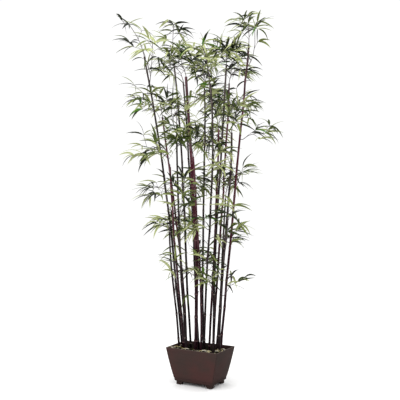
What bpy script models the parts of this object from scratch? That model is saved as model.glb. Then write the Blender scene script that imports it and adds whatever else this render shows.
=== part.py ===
"""A potted artificial black bamboo: planter, filling, natural canes and sprays of fabric leaves.

Metres, +Z up. The plant is as tall as a person. Its canes stand in a tapered planter on four
bracket feet and fan out to both sides, to the front and to the back.
"""

import math
import random
from typing import NamedTuple

import bmesh
import bpy
from mathutils import Matrix, Vector
from mathutils.bvhtree import BVHTree

GAP = 0.0003
SEED = 37

# The whole plant
PLANT_HEIGHT = 1.980
PLANTER_PLACE = Vector((0.013, -0.042, 0.0))
FAN_TURN = math.radians(29.2)

# Planter
PLANTER_HEIGHT = 0.194
RIM_HALF = Vector((0.154, 0.1025))
BODY_HALF = Vector((0.1130, 0.0775))
PLINTH_HALF = Vector((0.1055, 0.0725))
PLINTH_TOP = 0.0170
BODY_BOTTOM = 0.0200
WALL = 0.006
WALL_BULGE = 0.0020
CORNER_ROUND = 0.0030
CORNER_STEPS = 3
GROOVE = (0.0300, 0.0345)
GROOVE_DEPTH = 0.0015
GROOVE_SLOPE = 0.0010
BODY_STEPS = 6
FLOOR_TOP = 0.0320
FOOT_WIDTH = 0.022
FOOT_WIDTH_AT_TOP = 0.034
FOOT_CLEARANCE = 0.0165
FOOT_CURVE = 0.009
BELOW_GROUND = -0.010
CUTTER_RUN = 1.5

# Filling
FILL_TOP = 0.168
FILL_EDGE = 0.006

# Canes
CANE_SIDES = 6
CANE_STOPS = (0.0, 1.0 / 3.0, 2.0 / 3.0, 1.0)
INTERNODE = (0.115, 0.175)
FIRST_NODE = (0.25, 0.90)
LAST_NODE = 0.50
NODE_RIDGE = 1.20
NODE_WAIST = 0.94
NODE_HEIGHT = 0.006
KINK = 0.0022
TIP_SHARE = 0.72
CANE_CREASE = math.radians(40.0)

# Sprays
STEM_RADIUS = 0.0019
TWIG_RADIUS = 0.0016
KNUCKLE_RADIUS = 0.0036
KNUCKLE_LENGTH = 0.004
TIP_THIN = 0.6
STEM_START = 0.010
STEM_SEARCH = 0.020
STEM_BOW = 0.45
STEM_STEPS = 4
STEM_MARKS = 6
SETTLE_ROUNDS = 12
SETTLE_SHARE = 0.9
TWIGS_ALONG = (0.42, 0.88)
TWIG_LENGTH = (0.045, 0.075)
TWIG_LEAN = math.radians(58.0)
GOLDEN_TURN = math.radians(137.5)
RETRY_TURN = math.radians(50.0)
UPRIGHT = 0.05
REACH = 0.150
BORDER = 0.8
TRIES = 8
ROOM = 0.0016

# Leaves
LEAVES_PER_FAN = (3, 4)
FAN_ROUNDS = 2
TIP_ROOM = 0.035
LEAF_LENGTH = (0.084, 0.110)
LEAF_WIDTH = 0.0140
LEAF_DEPTH = 0.0016
LEAF_ARCH = 0.07
LEAF_WAIST = 0.42
LEAF_ROOT = 0.0012
FAN_SPREAD = math.radians(76.0)
FAN_TWIST = 0.6
LEAF_STRAY = 0.30
LEAF_LIFT = (-0.25, 0.45)
LEAF_LEVEL = 0.5
LEAF_ROLL = 1.1
LEAF_DROOP = (math.radians(-12.0), math.radians(46.0))

Point = tuple[float, float]


class Cane(NamedTuple):
    """One cane, with its places as (across, deep) from the middle of the planter."""

    foot: Point
    low: Point
    high: Point
    tip: Point
    top: float
    thick: float
    maroon: bool


class Spray(NamedTuple):
    """One spray: its cane, the height where it leaves it, where its stem ends and its fans."""

    cane: int
    leaves_at: float
    end: tuple[float, float, float]
    fans: int


# From left to right, seen from the planter's front corner
CANES = {
    1: Cane((-0.097, 0.070), (-0.148, 0.062), (-0.212, 0.052), (-0.301, 0.040), 1.74, 0.0110, False),
    2: Cane((-0.085, 0.036), (-0.113, -0.006), (-0.139, -0.058), (-0.155, -0.120), 1.14, 0.0108, True),
    3: Cane((-0.113, 0.030), (-0.131, 0.027), (-0.152, 0.024), (-0.165, 0.020), 0.80, 0.0105, False),
    4: Cane((-0.073, 0.052), (-0.101, 0.078), (-0.151, 0.111), (-0.210, 0.150), 1.43, 0.0108, True),
    5: Cane((-0.073, -0.010), (-0.099, -0.026), (-0.115, -0.046), (-0.123, -0.070), 1.36, 0.0105, False),
    6: Cane((-0.050, 0.064), (-0.080, 0.098), (-0.104, 0.140), (-0.149, 0.190), 1.74, 0.0112, False),
    7: Cane((-0.028, -0.006), (-0.021, -0.012), (-0.045, -0.020), (-0.076, -0.030), 1.62, 0.0180, True),
    8: Cane((-0.008, 0.035), (-0.031, 0.044), (-0.058, 0.056), (-0.093, 0.070), 1.61, 0.0105, False),
    9: Cane((0.002, -0.045), (0.002, -0.081), (-0.017, -0.126), (-0.036, -0.180), 1.19, 0.0105, True),
    10: Cane((0.019, 0.052), (0.013, 0.099), (0.021, 0.159), (0.023, 0.230), 1.63, 0.0108, False),
    11: Cane((0.022, -0.036), (0.036, -0.085), (0.060, -0.146), (0.048, -0.220), 1.55, 0.0105, False),
    12: Cane((0.047, -0.012), (0.067, 0.023), (0.087, 0.067), (0.100, 0.120), 1.36, 0.0115, True),
    13: Cane((0.068, -0.070), (0.077, -0.083), (0.103, -0.100), (0.133, -0.120), 1.66, 0.0108, False),
    14: Cane((0.069, 0.012), (0.097, 0.054), (0.132, 0.107), (0.160, 0.170), 1.62, 0.0110, True),
    15: Cane((0.100, -0.072), (0.111, -0.103), (0.142, -0.143), (0.157, -0.190), 1.31, 0.0125, False),
    16: Cane((0.083, -0.004), (0.103, 0.005), (0.119, 0.016), (0.134, 0.030), 0.98, 0.0100, False),
    17: Cane((0.107, -0.030), (0.152, -0.030), (0.204, -0.030), (0.254, -0.030), 1.79, 0.0122, True),
}

# The first spray of a cane grows on from its tip, and the others leave its side
SPRAYS = (
    Spray(1, 1.74, (-0.38, 0.04, 1.91), 2),
    Spray(1, 1.60, (-0.25, -0.05, 1.79), 4),
    Spray(1, 1.47, (-0.30, -0.06, 1.53), 4),
    Spray(2, 1.14, (-0.30, -0.12, 1.25), 4),
    Spray(2, 0.85, (-0.08, -0.14, 1.08), 4),
    Spray(3, 0.80, (-0.17, 0.02, 0.83), 3),
    Spray(3, 0.43, (-0.13, -0.10, 0.66), 2),
    Spray(4, 1.43, (-0.22, 0.18, 1.49), 3),
    Spray(4, 1.01, (-0.27, 0.18, 1.04), 3),
    Spray(4, 0.71, (-0.11, 0.18, 0.85), 4),
    Spray(5, 1.36, (-0.12, -0.10, 1.47), 3),
    Spray(5, 1.00, (-0.09, 0.06, 1.10), 2),
    Spray(6, 1.74, (-0.15, 0.22, 1.96), 3),
    Spray(6, 1.04, (-0.01, 0.14, 1.07), 3),
    Spray(7, 1.62, (-0.16, -0.03, 1.72), 6),
    Spray(7, 1.47, (0.06, -0.04, 1.56), 4),
    Spray(7, 0.63, (0.04, 0.06, 0.66), 3),
    Spray(8, 1.61, (-0.20, 0.11, 1.73), 4),
    Spray(8, 1.26, (-0.16, 0.06, 1.49), 6),
    Spray(9, 1.19, (-0.09, -0.21, 1.30), 6),
    Spray(10, 1.63, (0.01, 0.26, 1.73), 6),
    Spray(10, 1.50, (0.13, 0.30, 1.53), 6),
    Spray(10, 0.53, (-0.07, 0.12, 0.58), 2),
    Spray(11, 1.55, (0.01, -0.25, 1.73), 2),
    Spray(11, 1.12, (0.07, -0.26, 1.22), 3),
    Spray(11, 0.82, (-0.03, -0.18, 0.85), 4),
    Spray(12, 1.36, (0.13, 0.15, 1.47), 4),
    Spray(12, 1.28, (0.03, 0.26, 1.34), 6),
    Spray(13, 1.66, (0.13, -0.15, 1.73), 6),
    Spray(13, 0.50, (0.03, -0.15, 0.67), 5),
    Spray(14, 1.62, (0.22, 0.21, 1.71), 5),
    Spray(14, 1.46, (0.23, 0.25, 1.55), 4),
    Spray(14, 0.73, (0.17, 0.18, 0.76), 2),
    Spray(15, 1.31, (0.19, -0.22, 1.44), 4),
    Spray(15, 0.71, (0.14, -0.22, 0.94), 3),
    Spray(15, 0.48, (0.16, -0.11, 0.58), 2),
    Spray(16, 0.98, (0.17, 0.03, 1.11), 6),
    Spray(17, 1.79, (0.25, -0.03, 1.90), 3),
    Spray(17, 1.68, (0.29, 0.02, 1.89), 2),
    Spray(17, 1.05, (0.22, 0.05, 1.12), 2),
    Spray(17, 1.29, (0.34, -0.06, 1.32), 2),
)

COLOURS = {
    "planter": ((0.058, 0.034, 0.030, 1.0), 0.42),
    "filling": ((0.040, 0.038, 0.022, 1.0), 0.95),
    "cane maroon": ((0.075, 0.014, 0.022, 1.0), 0.30),
    "cane black": ((0.022, 0.014, 0.014, 1.0), 0.30),
    "leaf": ((0.200, 0.240, 0.070, 1.0), 0.60),
}


def clear_scene() -> None:
    """Remove every object that the file starts with."""
    for obj in list(bpy.data.objects):
        bpy.data.objects.remove(obj, do_unlink=True)


def material(name: str) -> bpy.types.Material:
    """Return the plain finish of that name, made the first time it is asked for."""
    found = bpy.data.materials.get(name)
    if found:
        return found
    colour, roughness = COLOURS[name]
    made = bpy.data.materials.new(name)
    made.use_nodes = True
    shader = made.node_tree.nodes["Principled BSDF"]
    shader.inputs["Base Color"].default_value = colour
    shader.inputs["Roughness"].default_value = roughness
    shader.inputs["Metallic"].default_value = 0.0
    return made


def new_object(name: str, bm: bmesh.types.BMesh, finish: str, home=None) -> bpy.types.Object:
    """Turn a bmesh into an object with that finish, in the scene or in the given collection."""
    bmesh.ops.recalc_face_normals(bm, faces=bm.faces)
    mesh = bpy.data.meshes.new(name)
    bm.to_mesh(mesh)
    bm.free()
    mesh.materials.append(material(finish))
    obj = bpy.data.objects.new(name, mesh)
    (home or bpy.context.scene.collection).objects.link(obj)
    return obj


def spot(across: float, deep: float, height: float) -> Vector:
    """Return the place that lies so far across the fan, so far behind it and so high."""
    turned = Matrix.Rotation(FAN_TURN, 3, "Z") @ Vector((across, deep, height))
    return turned + PLANTER_PLACE


def extend(bm: bmesh.types.BMesh, cap: list, inner: bool) -> tuple[list, list]:
    """Extrude a body's end face, and return its new end and that end's points.

    Args:
        bm: The body.
        cap: The faces of its end.
        inner: Whether the old end now lies inside the body, so that it goes.
    """
    grown = bmesh.ops.extrude_face_region(bm, geom=cap)["geom"]
    if inner:
        bmesh.ops.delete(bm, geom=cap, context="FACES_ONLY")
    ends = [face for face in grown if isinstance(face, bmesh.types.BMFace)]
    ring = [vert for vert in grown if isinstance(vert, bmesh.types.BMVert)]
    return ends, ring


# Planter and filling


def wall_half(height: float) -> Vector:
    """Return half the planter's length and depth, outside, at that height of its body."""
    share = (height - BODY_BOTTOM) / (PLANTER_HEIGHT - BODY_BOTTOM)
    bulge = WALL_BULGE * math.sin(math.pi * share)
    return BODY_HALF.lerp(RIM_HALF, share) + Vector((bulge, bulge))


def outer_sections() -> list[tuple[float, Vector]]:
    """Return the outside of the planter from the ground up: plinth, band, groove, then body."""
    low, high = GROOVE
    groove = Vector((GROOVE_DEPTH, GROOVE_DEPTH))
    sections = [(0.0, PLINTH_HALF), (PLINTH_TOP, PLINTH_HALF), (BODY_BOTTOM, BODY_HALF)]
    sections.append((low, wall_half(low)))
    for height in (low + GROOVE_SLOPE, high - GROOVE_SLOPE):
        sections.append((height, wall_half(height) - groove))
    return sections + inner_sections(0.0, high, PLANTER_HEIGHT)


def inner_sections(inset: float, low: float, high: float) -> list[tuple[float, Vector]]:
    """Return the body's sections between two heights, that far inside its outer wall."""
    sections = []
    for step in range(BODY_STEPS):
        height = low + (high - low) * step / (BODY_STEPS - 1)
        sections.append((height, wall_half(height) - Vector((inset, inset))))
    return sections


def tray(sections: list[tuple[float, Vector]]) -> bmesh.types.BMesh:
    """Return a closed body that rises, or sinks, through rounded rectangles of those sizes."""
    bm = bmesh.new()
    bmesh.ops.create_grid(bm, x_segments=1, y_segments=1, size=1.0)
    height, half = sections[0]
    bmesh.ops.scale(bm, vec=(half.x, half.y, 1.0), verts=bm.verts)
    bmesh.ops.bevel(bm, geom=bm.verts[:], offset=CORNER_ROUND, segments=CORNER_STEPS, profile=0.5,
                    affect="VERTICES", material=-1)
    bmesh.ops.translate(bm, vec=(0.0, 0.0, height), verts=bm.verts)
    cap = bm.faces[:]
    size = half
    for index, (height, half) in enumerate(sections[1:]):
        cap, ring = extend(bm, cap, inner=index > 0)
        bmesh.ops.scale(bm, vec=(half.x / size.x, half.y / size.y, 1.0), verts=ring)
        for vert in ring:
            vert.co.z = height
        size = half
    bmesh.ops.translate(bm, vec=PLANTER_PLACE, verts=bm.verts)
    return bm


def foot_cutter(name: str, half: float, run: float, turn: float) -> bpy.types.Object:
    """Return the space between two bracket feet, as a bar that runs under the planter."""
    bm = bmesh.new()
    bmesh.ops.create_grid(bm, x_segments=1, y_segments=1, size=1.0)
    for vert in bm.verts:
        upper = vert.co.y > 0.0
        reach = half - (FOOT_WIDTH_AT_TOP if upper else FOOT_WIDTH)
        level = FOOT_CLEARANCE if upper else BELOW_GROUND
        vert.co = Vector((math.copysign(reach, vert.co.x), -run, level))
    upper_corners = [vert for vert in bm.verts if vert.co.z > 0.0]
    bmesh.ops.bevel(bm, geom=upper_corners, offset=FOOT_CURVE, segments=3, profile=0.5,
                    affect="VERTICES", material=-1)
    _, far = extend(bm, bm.faces[:], inner=False)
    bmesh.ops.translate(bm, vec=(0.0, 2.0 * run, 0.0), verts=far)
    bmesh.ops.rotate(bm, cent=(0.0, 0.0, 0.0), matrix=Matrix.Rotation(turn, 3, "Z"), verts=bm.verts)
    bmesh.ops.translate(bm, vec=PLANTER_PLACE, verts=bm.verts)
    cutter = new_object(name, bm, "planter")
    cutter.hide_render = True
    cutter.display_type = "WIRE"
    return cutter


def make_planter() -> bpy.types.Object:
    """Make the tapered box on its plinth, hollow from the rim down, on four bracket feet."""
    hollow = inner_sections(WALL, FLOOR_TOP, PLANTER_HEIGHT)
    planter = new_object("planter", tray(outer_sections() + hollow[::-1]), "planter")
    long, short = PLINTH_HALF
    long_way = foot_cutter("cut_between_feet_long", long, short * CUTTER_RUN, 0.0)
    short_way = foot_cutter("cut_between_feet_short", short, long * CUTTER_RUN, math.pi / 2)
    for cutter in (long_way, short_way):
        cut = planter.modifiers.new(cutter.name, "BOOLEAN")
        cut.object = cutter
        cut.operation = "DIFFERENCE"
        cut.solver = "EXACT"
    return planter


def make_filling() -> bpy.types.Object:
    """Make the filling that the canes stand in, level with a dropped edge."""
    sections = inner_sections(WALL + GAP, FLOOR_TOP + GAP, FILL_TOP - FILL_EDGE)
    top_half = sections[-1][1] - Vector((FILL_EDGE, FILL_EDGE))
    return new_object("filling", tray(sections + [(FILL_TOP, top_half)]), "filling")


# Canes


def limb(points: list[Vector], radii: list[float], sides: int, level_foot=False) -> bmesh.types.BMesh:
    """Return a closed round limb through those points, with a flat cut at either end.

    Args:
        points: The middle of the limb, from its foot to its tip.
        radii: The limb's radius at each point.
        sides: How many sides it has.
        level_foot: Whether the foot is cut level instead of square to the limb.
    """
    bm = bmesh.new()
    bmesh.ops.create_circle(bm, cap_ends=True, segments=sides, radius=1.0)
    cap = bm.faces[:]
    ring = bm.verts[:]
    heading = Vector((0.0, 0.0, 1.0))
    turn = Matrix.Identity(4)
    placed = Matrix.Identity(4)
    last = len(points) - 1
    for index, (point, radius) in enumerate(zip(points, radii)):
        along = (points[min(index + 1, last)] - points[max(index - 1, 0)]).normalized()
        if level_foot and index == 0:
            along = heading
        turn = heading.rotation_difference(along).to_matrix().to_4x4() @ turn
        heading = along
        place = Matrix.Translation(point) @ turn @ Matrix.Diagonal((radius, radius, radius, 1.0))
        if index:
            cap, ring = extend(bm, cap, inner=index > 1)
        bmesh.ops.transform(bm, matrix=place @ placed.inverted(), verts=ring)
        placed = place
    bmesh.ops.recalc_face_normals(bm, faces=bm.faces)
    return bm


def cane_middle(cane: Cane, height: float) -> Vector:
    """Return the middle of a cane at that height, on one smooth bow through its four places."""
    share = (height - FILL_TOP) / (cane.top - FILL_TOP)
    across = 0.0
    deep = 0.0
    for stop, place in zip(CANE_STOPS, (cane.foot, cane.low, cane.high, cane.tip)):
        weight = math.prod((share - other) / (stop - other) for other in CANE_STOPS if other != stop)
        across += weight * place[0]
        deep += weight * place[1]
    return spot(across, deep, height)


def cane_course(number: int) -> tuple[list[Vector], list[float]]:
    """Return the points and radii of a cane: straight internodes that kink a little at each node."""
    cane = CANES[number]
    draw = random.Random(SEED + number)
    foot_radius = cane.thick / 2.0
    points = [cane_middle(cane, FILL_TOP + GAP)]
    radii = [foot_radius]
    height = FILL_TOP + draw.uniform(*FIRST_NODE) * INTERNODE[0]
    while height < cane.top - INTERNODE[0] * LAST_NODE:
        share = (height - FILL_TOP) / (cane.top - FILL_TOP)
        radius = foot_radius * (1.0 - (1.0 - TIP_SHARE) * share)
        kink = Vector((draw.uniform(-KINK, KINK), draw.uniform(-KINK, KINK), 0.0))
        points.append(cane_middle(cane, height) + kink)
        radii.append(radius * NODE_RIDGE)
        points.append(cane_middle(cane, height + NODE_HEIGHT) + kink)
        radii.append(radius * NODE_WAIST)
        height += draw.uniform(*INTERNODE)
    points.append(cane_middle(cane, cane.top))
    radii.append(foot_radius * TIP_SHARE)
    return points, radii


def make_canes() -> dict[int, BVHTree]:
    """Make every cane, and return the surface of each for the sprays to keep clear of."""
    surfaces = {}
    for number, cane in CANES.items():
        points, radii = cane_course(number)
        bm = limb(points, radii, CANE_SIDES, level_foot=True)
        surfaces[number] = BVHTree.FromBMesh(bm)
        finish = "cane maroon" if cane.maroon else "cane black"
        obj = new_object(f"cane_{number:02d}", bm, finish)
        obj.data.shade_smooth()
        obj.data.set_sharp_from_angle(angle=CANE_CREASE)
    return surfaces


# Sprays


def leaf(root: Vector, tip: Vector, face_up: Vector, spare: float = 0.0) -> bmesh.types.BMesh:
    """Return one closed leaf, flat above and keeled below, arched over a waist where it is widest.

    Args:
        root: The point inside the knuckle that it grows from.
        tip: Its pointed end.
        face_up: Which way its upper face looks.
        spare: How far it is made wider and deeper than it is, to test its room.
    """
    chord = tip - root
    side = chord.cross(face_up).normalized()
    rise = side.cross(chord).normalized()
    over = square_to(chord.normalized(), -math.pi / 2.0)
    waist = root + chord * LEAF_WAIST + over * chord.length * LEAF_ARCH
    half = LEAF_WIDTH / 2.0 + spare
    bm = bmesh.new()
    bmesh.ops.create_circle(bm, cap_ends=True, segments=3, radius=1.0)
    corners = (waist + side * half, waist - side * half, waist - rise * (LEAF_DEPTH + spare))
    for vert, corner in zip(bm.verts, corners):
        vert.co = corner
    waist_face = bm.faces[:]
    _, ring = extend(bm, waist_face, inner=False)
    bmesh.ops.pointmerge(bm, verts=ring, merge_co=tip)
    poked = bmesh.ops.poke(bm, faces=waist_face)
    poked["verts"][0].co = root
    bmesh.ops.recalc_face_normals(bm, faces=bm.faces)
    return bm


def outside_start(surface: BVHTree, middle: Vector, out: Vector) -> Vector:
    """Return where a stem starts so that its flat end lies one gap clear of the cane.

    Args:
        surface: The cane's surface.
        middle: The middle of the cane at that height.
        out: The level way that the stem leaves it.
    """
    side = out.cross(Vector((0.0, 0.0, 1.0))).normalized()
    rise = side.cross(out)
    angles = [math.tau * step / SETTLE_ROUNDS for step in range(SETTLE_ROUNDS)]
    corners = [(side * math.cos(angle) + rise * math.sin(angle)) * STEM_RADIUS for angle in angles]
    start = middle + out * STEM_SEARCH
    for _ in range(SETTLE_ROUNDS):
        spare = min(surface.find_nearest(start + corner)[3] for corner in corners)
        start = start - out * (spare - GAP) * SETTLE_SHARE
    return start


def stem_course(plan: Spray, surface: BVHTree) -> list[Vector]:
    """Return the points of a spray's stem, from its cane to its own end, on one smooth arch."""
    cane = CANES[plan.cane]
    end = spot(*plan.end)
    middle = cane_middle(cane, plan.leaves_at)
    if plan.leaves_at >= cane.top:
        below = cane_middle(cane, cane.top - INTERNODE[0])
        heading = (middle - below).normalized()
        start = middle + heading * GAP
        first = start + heading * STEM_START
    else:
        out = Vector((end.x - middle.x, end.y - middle.y, 0.0)).normalized()
        start = outside_start(surface, middle, out)
        first = start + out * STEM_START
        heading = (out + Vector((0.0, 0.0, 1.0))).normalized()
    guide = first + heading * (end - first).length * STEM_BOW
    points = [start]
    for step in range(STEM_STEPS):
        share = step / (STEM_STEPS - 1)
        points.append(first.lerp(guide, share).lerp(guide.lerp(end, share), share))
    return points


def along_course(points: list[Vector], share: float) -> tuple[Vector, Vector]:
    """Return the place and the heading at that share of a course's points."""
    position = share * (len(points) - 1)
    index = min(int(position), len(points) - 2)
    step = points[index + 1] - points[index]
    return points[index] + step * (position - index), step.normalized()


def square_to(heading: Vector, angle: float) -> Vector:
    """Return the way that is square to a heading, turned round it by that angle."""
    flat = heading.cross(Vector((0.0, 0.0, 1.0)))
    if flat.length < UPRIGHT:
        flat = Vector((1.0, 0.0, 0.0))
    return Matrix.Rotation(angle, 3, heading) @ flat.normalized()


class Crown:
    """The space that the sprays share, and what already stands in it."""

    def __init__(self, surfaces: dict[int, BVHTree]) -> None:
        """Keep the canes' surfaces and every spray's stem."""
        self.surfaces = surfaces
        self.filled = list(surfaces.values())
        self.courses = [stem_course(plan, surfaces[plan.cane]) for plan in SPRAYS]
        self.stems = []
        for points in self.courses:
            shares = [mark / STEM_MARKS for mark in range(1, STEM_MARKS + 1)]
            self.stems.append([along_course(points, share)[0] for share in shares])

    def owns(self, number: int, place: Vector) -> bool:
        """Say whether a place lies in that spray's space: in its reach and nearest to its stem."""
        if place.z > PLANT_HEIGHT:
            return False
        own = min((place - point).length for point in self.stems[number])
        if own > REACH:
            return False
        return all(
            (place - point).length > own * BORDER
            for other, stem in enumerate(self.stems)
            if other != number
            for point in stem
        )

    def clear(self, body: bmesh.types.BMesh, beside=()) -> bool:
        """Say whether a body touches nothing that stands already."""
        tree = BVHTree.FromBMesh(body)
        body.free()
        return not any(tree.overlap(other) for other in self.filled + list(beside))


def knuckle_twig(start: Vector, end: Vector, radius: float) -> bmesh.types.BMesh:
    """Return a three sided twig that thickens to a knuckle where its leaves are set in."""
    beyond = (end - start).normalized() * KNUCKLE_LENGTH
    return limb([start, end, end + beyond], [radius, KNUCKLE_RADIUS, radius * TIP_THIN], 3)


def leaf_places(knuckle: Vector, heading: Vector, draw: random.Random, count: int) -> list[tuple]:
    """Return a root, a tip and an upward way for each leaf of a fan of that many."""
    side = square_to(heading, draw.uniform(-FAN_TWIST, FAN_TWIST))
    up = side.cross(heading).normalized()
    places = []
    for index in range(count):
        stray = draw.uniform(-LEAF_STRAY, LEAF_STRAY)
        spread = FAN_SPREAD * (2.0 * index / (count - 1) - 1.0) + stray
        way = heading * math.cos(spread) + side * math.sin(spread) + up * draw.uniform(*LEAF_LIFT)
        level = Vector((way.x, way.y, way.z * LEAF_LEVEL)).normalized()
        droop = draw.uniform(*LEAF_DROOP)
        way = (level * math.cos(droop) - Vector((0.0, 0.0, math.sin(droop)))).normalized()
        root = knuckle - way * LEAF_ROOT
        tip = knuckle + way * draw.uniform(*LEAF_LENGTH)
        face_up = square_to(way, draw.uniform(-LEAF_ROLL, LEAF_ROLL) - math.pi / 2.0)
        places.append((root, tip, face_up))
    return places


def grow_spray(number: int, crown: Crown) -> list[bmesh.types.BMesh]:
    """Return the bodies of one spray, its stem first, each in its own space and touching no limb."""
    plan = SPRAYS[number]
    draw = random.Random(SEED * 100 + number)
    course = crown.courses[number]
    heading = (course[-1] - course[-2]).normalized()
    stem_end = course[-1] + heading * KNUCKLE_LENGTH
    stem_radii = [STEM_RADIUS] * (len(course) - 1) + [KNUCKLE_RADIUS, TWIG_RADIUS * TIP_THIN]
    bodies = [limb(course + [stem_end], stem_radii, 3)]
    fans = [(course[-1], heading)]
    turn = draw.uniform(0.0, math.tau)
    first, last = TWIGS_ALONG
    for index in range(plan.fans - 1):
        share = first + (last - first) * index / max(plan.fans - 2, 1)
        place, along = along_course(course, share)
        for attempt in range(TRIES):
            turn += GOLDEN_TURN if attempt == 0 else RETRY_TURN
            way = along * math.cos(TWIG_LEAN) + square_to(along, turn) * math.sin(TWIG_LEAN)
            end = place + way * draw.uniform(*TWIG_LENGTH)
            if not crown.owns(number, end):
                continue
            if crown.clear(knuckle_twig(place, end, TWIG_RADIUS + ROOM)):
                bodies.append(knuckle_twig(place, end, TWIG_RADIUS))
                fans.append((end, way))
                break
    grown = []
    for knuckle, way in fans:
        count = draw.randint(*LEAVES_PER_FAN)
        fan = []
        for _ in range(FAN_ROUNDS):
            for root, tip, face_up in leaf_places(knuckle, way, draw, count):
                crowded = any((tip - other).length < TIP_ROOM for other, _ in fan)
                owned = crown.owns(number, tip) and crown.owns(number, root.lerp(tip, LEAF_WAIST))
                if len(fan) < count and owned and not crowded:
                    if crown.clear(leaf(root, tip, face_up, ROOM), grown):
                        fan.append((tip, leaf(root, tip, face_up)))
        bodies += [body for _, body in fan]
        grown += [BVHTree.FromBMesh(body) for _, body in fan]
    return bodies


def join_spray(name: str, bodies: list[bmesh.types.BMesh]) -> bpy.types.Object:
    """Fuse a spray's bodies into one solid with one Boolean union, and drop any loose scrap."""
    stem = new_object(name, bodies[0], "leaf")
    others = bpy.data.collections.new(f"{name}_parts")
    for index, body in enumerate(bodies[1:]):
        new_object(f"{name}_part_{index}", body, "leaf", others)
    union = stem.modifiers.new("union", "BOOLEAN")
    union.operand_type = "COLLECTION"
    union.collection = others
    union.operation = "UNION"
    union.solver = "EXACT"
    bpy.context.view_layer.update()
    graph = bpy.context.evaluated_depsgraph_get()
    fused = bpy.data.meshes.new_from_object(stem.evaluated_get(graph))
    stem.modifiers.clear()
    stem.data = fused
    for part in list(others.objects):
        bpy.data.objects.remove(part, do_unlink=True)
    bpy.data.collections.remove(others)
    keep_largest_body(fused)
    return stem


def keep_largest_body(mesh: bpy.types.Mesh) -> None:
    """Delete every body of a mesh but the one with the most points."""
    bm = bmesh.new()
    bm.from_mesh(mesh)
    unseen = set(bm.verts)
    bodies = []
    while unseen:
        body = set()
        edge = [unseen.pop()]
        while edge:
            vert = edge.pop()
            body.add(vert)
            linked = {link.other_vert(vert) for link in vert.link_edges} & unseen
            unseen -= linked
            edge += linked
        bodies.append(body)
    bodies.sort(key=len)
    scraps = [vert for body in bodies[:-1] for vert in body]
    bmesh.ops.delete(bm, geom=scraps, context="VERTS")
    bm.to_mesh(mesh)
    bm.free()


def make_sprays(surfaces: dict[int, BVHTree]) -> None:
    """Make every spray of leaves, each clear of the canes and of the sprays before it."""
    crown = Crown(surfaces)
    for number in range(len(SPRAYS)):
        bodies = grow_spray(number, crown)
        crown.filled += [BVHTree.FromBMesh(body) for body in bodies]
        join_spray(f"spray_{number + 1:02d}", bodies)


def main() -> None:
    """Make the whole plant."""
    clear_scene()
    make_planter()
    make_filling()
    make_sprays(make_canes())


main()
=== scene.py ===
"""The looks of a tall artificial black bamboo that stands in its own tapered planter.

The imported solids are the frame, in metres, +Z up, and every piece here is set where they say. The
planter, its filling and the canes are made again with finer shapes, and the sprays of leaves grow
by the rule that their solids follow, carried on to finer twigs and more leaves.
"""

import logging
import math
import random
from dataclasses import dataclass
from enum import Enum
from typing import NamedTuple

import bmesh
import bpy
from mathutils import Matrix, Vector, noise


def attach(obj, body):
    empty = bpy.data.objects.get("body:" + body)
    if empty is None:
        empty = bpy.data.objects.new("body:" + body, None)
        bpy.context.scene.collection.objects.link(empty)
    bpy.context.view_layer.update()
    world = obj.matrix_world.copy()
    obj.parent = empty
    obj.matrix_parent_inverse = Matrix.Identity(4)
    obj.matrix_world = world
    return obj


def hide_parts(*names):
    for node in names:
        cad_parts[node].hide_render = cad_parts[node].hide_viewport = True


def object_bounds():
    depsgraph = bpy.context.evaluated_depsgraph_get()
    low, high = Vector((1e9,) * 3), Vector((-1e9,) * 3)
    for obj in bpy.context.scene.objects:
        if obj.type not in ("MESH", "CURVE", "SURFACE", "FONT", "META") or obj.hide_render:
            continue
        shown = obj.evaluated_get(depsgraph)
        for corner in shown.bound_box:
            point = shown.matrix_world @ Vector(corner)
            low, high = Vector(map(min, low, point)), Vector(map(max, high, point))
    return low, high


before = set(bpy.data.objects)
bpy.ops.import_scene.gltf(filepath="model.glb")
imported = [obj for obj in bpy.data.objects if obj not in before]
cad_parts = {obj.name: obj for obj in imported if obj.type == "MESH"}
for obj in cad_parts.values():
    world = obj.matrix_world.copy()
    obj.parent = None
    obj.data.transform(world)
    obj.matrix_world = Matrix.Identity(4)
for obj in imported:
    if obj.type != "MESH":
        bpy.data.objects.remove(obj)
CAD_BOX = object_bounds()

log = logging.getLogger("bamboo")

GAP = 0.0003
SEED = 37
UP = Vector((0.0, 0.0, 1.0))
PLANT_HEIGHT = 1.980
PLANTER_PLACE = Vector((0.013, -0.042, 0.0))
FAN_TURN = math.radians(29.2)
STUDIO_LIGHT = 1.33

Point = tuple[float, float]
Colour = tuple[float, float, float, float]


def paint(red: float, green: float, blue: float) -> Colour:
    """Return the base colour that the studio's light brings up to those screen values.

    Args:
        red: The red that a screen shows, from 0 to 255.
        green: The green.
        blue: The blue.
    """
    shares = (value / 255.0 for value in (red, green, blue))
    linear = (s / 12.92 if s <= 0.04045 else ((s + 0.055) / 1.055) ** 2.4 for s in shares)
    return (*(part / STUDIO_LIGHT for part in linear), 1.0)


# Shading


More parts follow.
